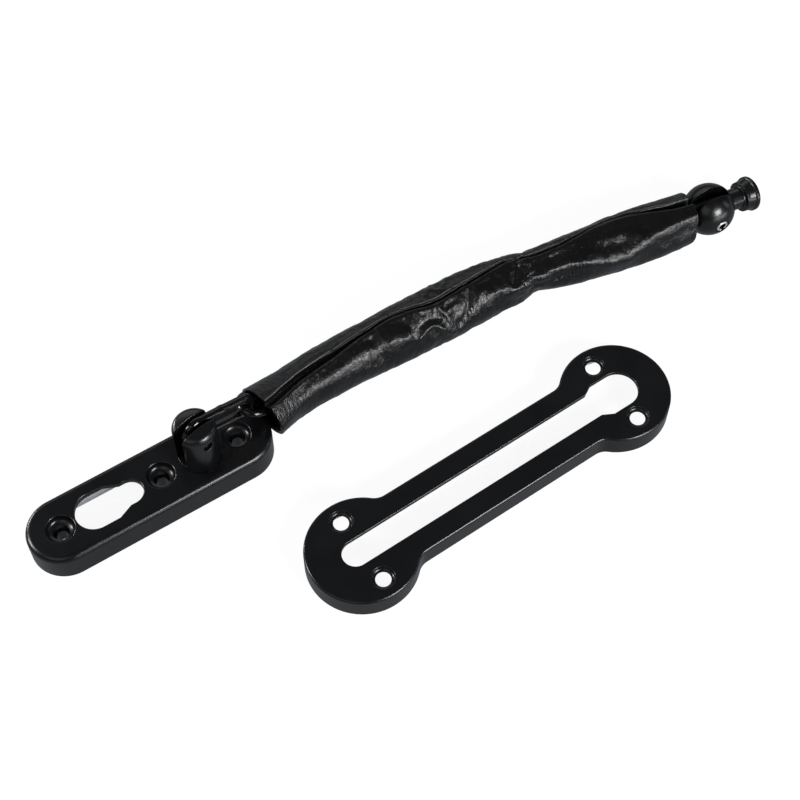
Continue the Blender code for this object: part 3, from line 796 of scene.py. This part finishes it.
def wrinkle_noise(x, angle):
    """Small wrinkles, strongest where the sleeve is bent and squeezed."""
    worn = eased(((40, 0.25), (70, 0.25), (95, 0.6), (108, 1.0), (125, 0.8), (145, 1.0),
                  (160, 0.5), (205, 0.3)), x[:, 0])[:, None]
    turn = np.radians(angle)
    fine, broad = np.zeros_like(x), np.zeros_like(x)
    for i, j in np.ndindex(x.shape):
        a = turn[i, j]
        spot = Vector((x[i, j] / 5.5, 1.3 * math.cos(a), 1.3 * math.sin(a)))
        broad[i, j] = noise.fractal(spot, 1.0, 2.0, 3)
        wavy = x[i, j] / 2.6 + 0.8 * math.sin(a + x[i, j] / 9)
        spot = Vector((wavy, 2.6 * math.cos(a), 2.6 * math.sin(a)))
        fine[i, j] = 1 - 2 * abs(noise.noise(spot))
    return 0.22 * broad + worn * 0.16 * (fine - 0.55)


def seam_height(x, off):
    """The sewn groove: a deep line between two rolled lips; off is mm in front of the seam."""
    depth = eased(((40, 1.6), (63, 1.6), (78, 1.2), (90, 1.1), (150, 1.5), (180, 1.9), (192, 2.6),
                   (205, 3.4)), x)
    width = eased(((40, 0.95), (50, 1.0), (63, 1.0), (72, 0.7), (79, 0.45), (90, 0.35), (150, 0.4),
                   (180, 0.5), (190, 0.7), (205, 1.15)), x)
    overlap = eased(((40, 0.0), (75, 0.2), (92, 0.7), (112, 0.5), (124, 0.7), (140, 0.9),
                     (160, 1.0), (190, 0.7), (205, 0.2)), x)
    groove = -depth * np.exp(-np.abs(off / width) ** np.where(off < 0, 6.0, 2.4))
    proud = eased(((40, 0.42), (78, 0.38), (95, 0.15), (205, 0.0)), x)
    rear_lip = proud * np.exp(-(((off + width + 0.45) / 0.5) ** 2))
    front_lip = 0.40 * np.exp(-(((off - width - 1.0) / 1.1) ** 2))
    side = 1 / (1 + np.exp(-off / 0.25))
    return groove + rear_lip + front_lip + overlap * side * np.exp(-np.maximum(off, 0) / 5.5)


def sleeve_surface():
    """Outer and inner points of the sleeve in mm, row by row along it, and their unrolled places."""
    x = np.linspace(SLEEVE_START, SLEEVE_END, ROWS)
    line = centre_line(x)
    along = np.gradient(line, axis=0)
    along /= np.linalg.norm(along, axis=1, keepdims=True)
    front = np.cross(along, (0, 0, 1))
    front /= np.linalg.norm(front, axis=1, keepdims=True)
    up = np.cross(front, along)
    turn = 2 * np.arange(COLUMNS) / COLUMNS - 1
    spacing = 180 * (0.3 * turn + 0.7 * turn**3)  # finer near the seam
    angle = eased(SEAM, x)[:, None] + spacing[None, :]
    spots = np.repeat(x[:, None], COLUMNS, axis=1)
    base = np.repeat(eased(RADIUS, x)[:, None], COLUMNS, axis=1)
    off = np.radians(spacing)[None, :] * base
    outer = base + swell(REAR_SWELL, x, angle, -63) + swell(FRONT_SWELL, x, angle, 117)
    outer += fold_height(spots, angle) + wrinkle_noise(spots, angle) + seam_height(spots, off)
    inner = np.minimum(base - LEATHER_MM, outer - 0.75 * LEATHER_MM)
    turns = np.radians(angle)[:, :, None]
    spoke = np.cos(turns) * up[:, None, :] + np.sin(turns) * front[:, None, :]
    down = -np.cos(turns[:, :, 0])
    near_mouth = np.clip(1 - (spots - SLEEVE_START) / MOUTH_REACH, 0, 1) ** 1.5
    lean = (MOUTH_LEAN * down + MOUTH_CLEARANCE * np.maximum(down, 0)) * near_mouth
    close = np.clip((spots - SLEEVE_END + 14) / 14, 0, 1) ** 2
    lean += close * (2.0 * np.cos(turns[:, :, 0] + 0.5) - 1.4 * np.exp(-((off / 1.2) ** 2)))
    shift = lean[:, :, None] * along[:, None, :]
    walls = []
    for radius in (outer, inner):
        wall = line[:, None, :] + shift + radius[:, :, None] * spoke
        low = FLOOR_GAP + (0 if radius is outer else 0.8 * LEATHER_MM)
        wall[:, :, 2] = low + 0.3 * np.logaddexp(0, (wall[:, :, 2] - low) / 0.3)
        walls.append(wall)
    unrolled = np.stack([spots + lean, np.radians(angle) * MEAN_R, np.zeros_like(spots)], axis=2)
    return walls[0], walls[1], unrolled


def vertex_normals(wall):
    """Normals of a tube of points that closes on itself round its second axis."""
    along = np.gradient(wall, axis=0)
    across = np.roll(wall, -1, axis=1) - np.roll(wall, 1, axis=1)
    normals = np.cross(along, across)
    return normals / np.linalg.norm(normals, axis=2, keepdims=True)


def tube_faces(first_rows, count, flip):
    """Quads between each row of points and the next."""
    faces = []
    for a, b in zip(first_rows, first_rows[1:]):
        for j in range(count):
            n = (j + 1) % count
            quad = (a + j, a + n, b + n, b + j)
            faces.append(quad[::-1] if flip else quad)
    return faces


def sleeve_piece(k, outer, inner, unrolled, rows):
    """One length of the sleeve, closed at both cuts, with the whole sleeve's normals."""
    first, last = rows
    shape = slice(first, last + 1)
    parts = [outer[shape], inner[shape]]
    normals = [vertex_normals(outer)[shape], -vertex_normals(inner)[shape]]
    count = last - first + 1
    points = np.concatenate([p.reshape(-1, 3) for p in parts]) * MM
    flow = np.concatenate([n.reshape(-1, 3) for n in normals])
    starts = [i * COLUMNS for i in range(count)]
    faces = tube_faces(starts, COLUMNS, True)
    faces += tube_faces([s + count * COLUMNS for s in starts], COLUMNS, False)
    walls = len(faces)
    faces += tube_faces([starts[0], starts[0] + count * COLUMNS], COLUMNS, False)
    faces += tube_faces([starts[-1], starts[-1] + count * COLUMNS], COLUMNS, True)
    mesh = bpy.data.meshes.new(f"leather sleeve {k}")
    mesh.from_pydata(points.tolist(), [], faces)
    places = mesh.attributes.new("unrolled", "FLOAT_VECTOR", "POINT")
    both = np.concatenate([unrolled[shape].reshape(-1, 3)] * 2).astype(np.float32)
    places.data.foreach_set("vector", both.ravel())
    mesh.shade_smooth()
    corner = np.empty(len(mesh.loops), int)
    mesh.loops.foreach_get("vertex_index", corner)
    loop_normals = flow[corner]
    rims = np.concatenate([[tuple(p.normal)] * 4 for p in mesh.polygons[walls:]])
    loop_normals[4 * walls:] = rims
    mesh.normals_split_custom_set(loop_normals.tolist())
    return add_object(f"leather_sleeve_{k}", mesh)


def seam_thread(k, outer, rows):
    """Short tight stitches over the rear lip of the seam."""
    normals = vertex_normals(outer)
    line = outer[:, STITCH_COLUMN]
    form = bmesh.new()
    first, last = rows
    for start in range(first + first % STITCH_PITCH, last - 2, STITCH_PITCH):
        rings = []
        for t, lift in STITCH_ARCH:
            step = t * STITCH_LENGTH
            whole = start + int(step)
            middle = line[whole] + (line[whole + 1] - line[whole]) * (step % 1)
            normal = normals[whole, STITCH_COLUMN]
            along = line[whole + 1] - line[whole]
            side = np.cross(along / np.linalg.norm(along), normal)
            ring = []
            for j in range(STITCH_SIDES):
                a = 2 * math.pi * j / STITCH_SIDES
                spoke = math.cos(a) * side + math.sin(a) * normal
                point = middle + normal * lift + STITCH_R * spoke
                ring.append(form.verts.new(point * MM))
            rings.append(ring)
        for one, two in zip(rings, rings[1:]):
            band(form, one, two)
        form.faces.new(rings[0])
        form.faces.new(rings[-1])
    stitches = built(form, f"seam thread {k}", f"seam_thread_{k}")
    stitches.data.shade_smooth()
    return stitches


def leather_sleeve():
    """The tube in seven lengths, each holding one of the chain's joints inside it."""
    outer, inner, unrolled = sleeve_surface()
    x = np.linspace(SLEEVE_START, SLEEVE_END, ROWS)
    middles = [(a + b) / 2 for a, b in zip(STATIONS, STATIONS[1:])]
    cuts = [0] + [int(np.abs(x - middles[k - 1].x / MM).argmin()) for k in range(3, 9)] + [ROWS - 1]
    for k, rows in enumerate(zip(cuts, cuts[1:]), start=1):
        piece = sleeve_piece(k, outer, inner, unrolled, rows)
        stitches = seam_thread(k, outer, rows)
        piece.data.materials.append(LEATHER)
        stitches.data.materials.append(THREAD)
        for obj in (piece, stitches):
            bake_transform(obj)
        held = [f"sleeve_section_{k}"] + (["sleeve_section_8"] if k == 7 else [])
        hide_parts(*held)


# ---------------------------------------------------------------- floor, light and camera

FLOOR_HALF = 30.0
FLOOR_DROP = 0.05 * MM
FLOOR_GLOW = 0.90
FLOOR_BOUNCE = (0.21, 0.225, 0.245)
LIGHT_CENTRE = Vector((0.09, -0.02, 0.0))
# Each lamp's name, azimuth, elevation, distance, size and power
SOFTBOXES = (
    ("front softbox", 16, 30, 0.75, (0.30, 0.22), 5.2),
    ("low front strip", 20, 5, 0.8, (0.75, 0.10), 1.5),
    ("right strip", 66, 18, 0.8, (0.07, 0.32), 0.2),
    ("rear left softbox", -122, 28, 0.8, (0.16, 0.3), 3.2),
    ("rear left strip", -150, 8, 0.7, (0.2, 0.1), 1.5),
    ("rear strip", 156, 28, 1.0, (1.4, 0.35), 1.3),
    ("overhead softbox", -62, 44, 0.9, (0.6, 0.6), 0.7),
    ("rear overhead softbox", 147, 59, 0.9, (1.2, 1.2), 0.3),
)
CAMERA_LENS = 74.54
CAMERA_EYE = Vector((-64.93, -247.58, 468.45)) * MM
CAMERA_AIM = Vector((85.08, -11.74, 0)) * MM


def floor():
    """A plain white sheet. The camera sees it brighter than it lights the object."""
    mesh = bpy.data.meshes.new("floor")
    half = FLOOR_HALF
    corners = [(-half, -half, 0), (half, -half, 0), (half, half, 0), (-half, half, 0)]
    mesh.from_pydata(corners, [], [(0, 1, 2, 3)])
    plane = add_object("floor", mesh)
    plane.location.z = -FLOOR_DROP
    material, shown = principled("pale sheet", Roughness=0.9)
    shown.inputs["Specular IOR Level"].default_value = 0.0
    shown.inputs["Emission Color"].default_value = (1, 1, 1, 1)
    shown.inputs["Emission Strength"].default_value = FLOOR_GLOW
    shown.inputs["Base Color"].default_value = (0.20, 0.20, 0.20, 1)
    lit = node(material, "ShaderNodeEmission", {"Color": (*FLOOR_BOUNCE, 1), "Strength": 1.0})
    dull = node(material, "ShaderNodeBsdfDiffuse", {"Color": (0.08, 0.08, 0.08, 1)})
    bounced = node(material, "ShaderNodeAddShader", {0: lit.outputs[0], 1: dull.outputs[0]})
    path = node(material, "ShaderNodeLightPath")
    mix = node(material, "ShaderNodeMixShader", {0: path.outputs["Is Camera Ray"],
                                                 1: bounced.outputs[0], 2: shown.outputs[0]})
    out = material.node_tree.nodes["Material Output"]
    material.node_tree.links.new(mix.outputs[0], out.inputs["Surface"])
    mesh.materials.append(material)


def direction(azimuth, elevation):
    """A unit vector: azimuth 0 is towards -Y and 90 towards +X; elevation is above the floor."""
    a, e = math.radians(azimuth), math.radians(elevation)
    return Vector((math.sin(a) * math.cos(e), -math.cos(a) * math.cos(e), math.sin(e)))


def softbox(name, azimuth, elevation, distance, size, power, aim):
    data = bpy.data.lights.new(name, "AREA")
    data.shape = "RECTANGLE"
    data.size, data.size_y = size
    data.energy = power
    lamp = bpy.data.objects.new(name, data)
    lamp.location = aim + direction(azimuth, elevation) * distance
    lamp.rotation_euler = (-direction(azimuth, elevation)).to_track_quat("-Z", "Y").to_euler()
    bpy.context.scene.collection.objects.link(lamp)


def lights():
    for lamp in SOFTBOXES:
        softbox(*lamp, LIGHT_CENTRE)
    world = bpy.data.worlds.new("studio")
    world.use_nodes = True
    background = world.node_tree.nodes["Background"]
    background.inputs["Color"].default_value = (0.9, 0.95, 1.0, 1)
    background.inputs["Strength"].default_value = 0.05
    bpy.context.scene.world = world
    bpy.context.scene.view_settings.view_transform = "Standard"


def camera():
    data = bpy.data.cameras.new("camera")
    data.sensor_width = 36.0
    data.lens = CAMERA_LENS
    data.clip_start = 0.01
    eye = bpy.data.objects.new("camera", data)
    eye.location = CAMERA_EYE
    eye.rotation_euler = (CAMERA_AIM - eye.location).to_track_quat("-Z", "Y").to_euler()
    bpy.context.scene.collection.objects.link(eye)
    bpy.context.scene.camera = eye


camera()
lights()
floor()
frame_plate()
swivel_post()
for link in LINKS:
    chain_link(link)
end_ball()
track_plate()
inner_rings()
leather_sleeve()
